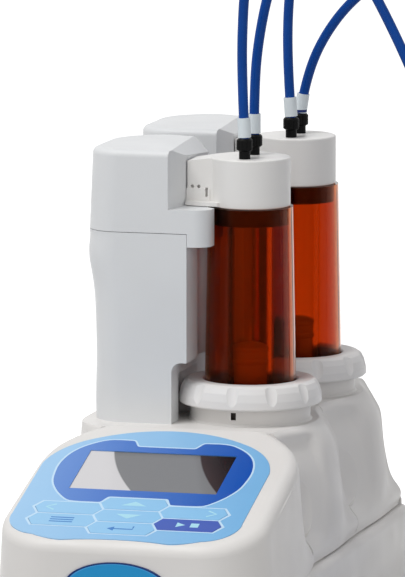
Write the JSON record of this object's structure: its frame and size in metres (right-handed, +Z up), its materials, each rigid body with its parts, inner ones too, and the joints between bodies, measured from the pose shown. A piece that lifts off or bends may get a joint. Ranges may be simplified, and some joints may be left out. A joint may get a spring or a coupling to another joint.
{
  "type": "digital burette",
  "caption": "Bench dosing burette with a sloping keypad console and amber cylinder units, each with a drive tower, valve head and blue hoses.",
  "frame": {"origin": "middle of the footprint, on the bench", "axes": "+X to the right and +Y to the rear as seen from the keypad side, +Z up"},
  "size_m": [0.2275, 0.3304, 0.3901],
  "materials": {
    "housing": "off-white moulded plastic, fine satin texture",
    "tower": "cool off-white moulded plastic",
    "white_plastic": "white turned or moulded plastic",
    "amber": "amber light-proof plastic, clear",
    "clear_glass": "borosilicate glass",
    "piston": "white sealing plastic",
    "valve_plug": "sealing plastic, white",
    "steel": "brushed",
    "brass": "machined",
    "gear_plastic": "natural moulded plastic",
    "motor": "black painted can",
    "circuit_board": "green board",
    "rubber": "matt",
    "black_plastic": "black moulded plastic",
    "hose": "blue flexible tube",
    "label_sleeve": "pale shrink sleeve",
    "keypad_foil": "printed polyester foil",
    "key": "printed polyester foil",
    "start_key": "printed polyester foil",
    "display": "display glass",
    "badge": "printed plate"
  },
  "bodies": {
    "base": {"amber_sleeve_1": "amber", "amber_sleeve_2": "amber", "badge_plate": "badge", "base_housing": "housing", "base_plate": "steel", "control_board": "circuit_board", "drive_motor_1": "motor", "drive_motor_2": "motor", "drive_plate_1": "steel", "drive_plate_2": "steel", "feet": "rubber", "glass_cylinder_1": "clear_glass", "glass_cylinder_2": "clear_glass", "hose_1": "hose", "hose_2": "hose", "hose_3": "hose", "hose_4": "hose", "hose_end_1": "black_plastic", "hose_end_2": "black_plastic", "hose_end_3": "black_plastic", "hose_end_4": "black_plastic", "hose_nuts": "black_plastic", "hose_sleeves": "label_sleeve", "keypad_overlay": "keypad_foil", "lcd_module": "display", "plate_screws": "steel", "power_inlet": "black_plastic", "tower_cover_1": "tower", "tower_cover_2": "tower", "tower_shell_1": "tower", "tower_shell_2": "tower", "unit_body_1": "housing", "unit_body_2": "housing", "valve_head_1": "white_plastic", "valve_head_2": "white_plastic", "valve_motor_1": "motor", "valve_motor_2": "motor"},
    "piston_1": {"piston_1": "piston", "piston_rod_1": "piston"},
    "screw_1": {"lead_screw_1": "steel", "screw_gear_1": "gear_plastic"},
    "pinion_1": {"motor_pinion_1": "brass"},
    "ring_1": {"lock_ring_1": "white_plastic"},
    "plug_1": {"valve_plug_1": "valve_plug"},
    "drive_1": {"valve_drive_1": "steel"},
    "piston_2": {"piston_2": "piston", "piston_rod_2": "piston"},
    "screw_2": {"lead_screw_2": "steel", "screw_gear_2": "gear_plastic"},
    "pinion_2": {"motor_pinion_2": "brass"},
    "ring_2": {"lock_ring_2": "white_plastic"},
    "plug_2": {"valve_plug_2": "valve_plug"},
    "drive_2": {"valve_drive_2": "steel"},
    "key_up_cap": {"key_up": "key"},
    "key_down_cap": {"key_down": "key"},
    "key_enter_cap": {"key_enter": "key"},
    "key_left_cap": {"key_left": "key"},
    "key_right_cap": {"key_right": "key"},
    "key_menu_cap": {"key_menu": "key"},
    "key_start_cap": {"key_start": "start_key"}
  },
  "joints": [
    {"name": "screw_turn_1", "type": "hinge", "parent": "base", "child": "screw_1", "pos_m": [0.021, 0.0085, 0.047], "axis": [0, 0, 1], "range_deg": [0, 8460]},
    {"name": "piston_travel_1", "type": "slide", "parent": "base", "child": "piston_1", "axis": [0, 0, 1], "range_m": [0, 0.0706]},
    {"name": "pinion_turn_1", "type": "hinge", "parent": "base", "child": "pinion_1", "pos_m": [-0.018, 0.0085, 0.047], "axis": [0, 0, 1], "range_deg": [-28201, 0]},
    {"name": "ring_lock_1", "type": "hinge", "parent": "base", "child": "ring_1", "pos_m": [0.021, 0.0085, 0.122], "axis": [0, 0, 1], "range_deg": [0, 40]},
    {"name": "valve_turn_1", "type": "hinge", "parent": "base", "child": "drive_1", "pos_m": [-0.018, 0.006, 0.233], "axis": [1, 0, 0], "range_deg": [0, 124]},
    {"name": "plug_turn_1", "type": "hinge", "parent": "base", "child": "plug_1", "pos_m": [0.012, 0.006, 0.233], "axis": [1, 0, 0], "range_deg": [0, 124]},
    {"name": "screw_turn_2", "type": "hinge", "parent": "base", "child": "screw_2", "pos_m": [0.021, 0.1035, 0.047], "axis": [0, 0, 1], "range_deg": [0, 8460]},
    {"name": "piston_travel_2", "type": "slide", "parent": "base", "child": "piston_2", "axis": [0, 0, 1], "range_m": [0, 0.0706]},
    {"name": "pinion_turn_2", "type": "hinge", "parent": "base", "child": "pinion_2", "pos_m": [-0.018, 0.1035, 0.047], "axis": [0, 0, 1], "range_deg": [-28201, 0]},
    {"name": "ring_lock_2", "type": "hinge", "parent": "base", "child": "ring_2", "pos_m": [0.021, 0.1035, 0.122], "axis": [0, 0, 1], "range_deg": [0, 40]},
    {"name": "valve_turn_2", "type": "hinge", "parent": "base", "child": "drive_2", "pos_m": [-0.018, 0.101, 0.233], "axis": [1, 0, 0], "range_deg": [0, 124]},
    {"name": "plug_turn_2", "type": "hinge", "parent": "base", "child": "plug_2", "pos_m": [0.012, 0.101, 0.233], "axis": [1, 0, 0], "range_deg": [0, 124]},
    {"name": "key_up_press", "type": "slide", "parent": "base", "child": "key_up_cap", "axis": [0, -0.299, 0.9542], "range_m": [-0.0006, 0], "stiffness_N_per_m": 2500},
    {"name": "key_down_press", "type": "slide", "parent": "base", "child": "key_down_cap", "axis": [0, -0.299, 0.9542], "range_m": [-0.0006, 0], "stiffness_N_per_m": 2500},
    {"name": "key_enter_press", "type": "slide", "parent": "base", "child": "key_enter_cap", "axis": [0, -0.299, 0.9542], "range_m": [-0.0006, 0], "stiffness_N_per_m": 2500},
    {"name": "key_left_press", "type": "slide", "parent": "base", "child": "key_left_cap", "axis": [0, -0.299, 0.9542], "range_m": [-0.0006, 0], "stiffness_N_per_m": 2500},
    {"name": "key_right_press", "type": "slide", "parent": "base", "child": "key_right_cap", "axis": [0, -0.299, 0.9542], "range_m": [-0.0006, 0], "stiffness_N_per_m": 2500},
    {"name": "key_menu_press", "type": "slide", "parent": "base", "child": "key_menu_cap", "axis": [0, -0.299, 0.9542], "range_m": [-0.0006, 0], "stiffness_N_per_m": 2500},
    {"name": "key_start_press", "type": "slide", "parent": "base", "child": "key_start_cap", "axis": [0, -0.299, 0.9542], "range_m": [-0.0006, 0], "stiffness_N_per_m": 2500}
  ],
  "couplings": [
    {"joint": "piston_travel_1", "follows": "screw_turn_1", "m_per_rad": 0.00047746},
    {"joint": "pinion_turn_1", "follows": "screw_turn_1", "ratio": -3.3333},
    {"joint": "valve_turn_1", "follows": "plug_turn_1", "ratio": 1},
    {"joint": "piston_travel_2", "follows": "screw_turn_2", "m_per_rad": 0.00047746},
    {"joint": "pinion_turn_2", "follows": "screw_turn_2", "ratio": -3.3333},
    {"joint": "valve_turn_2", "follows": "plug_turn_2", "ratio": 1}
  ]
}
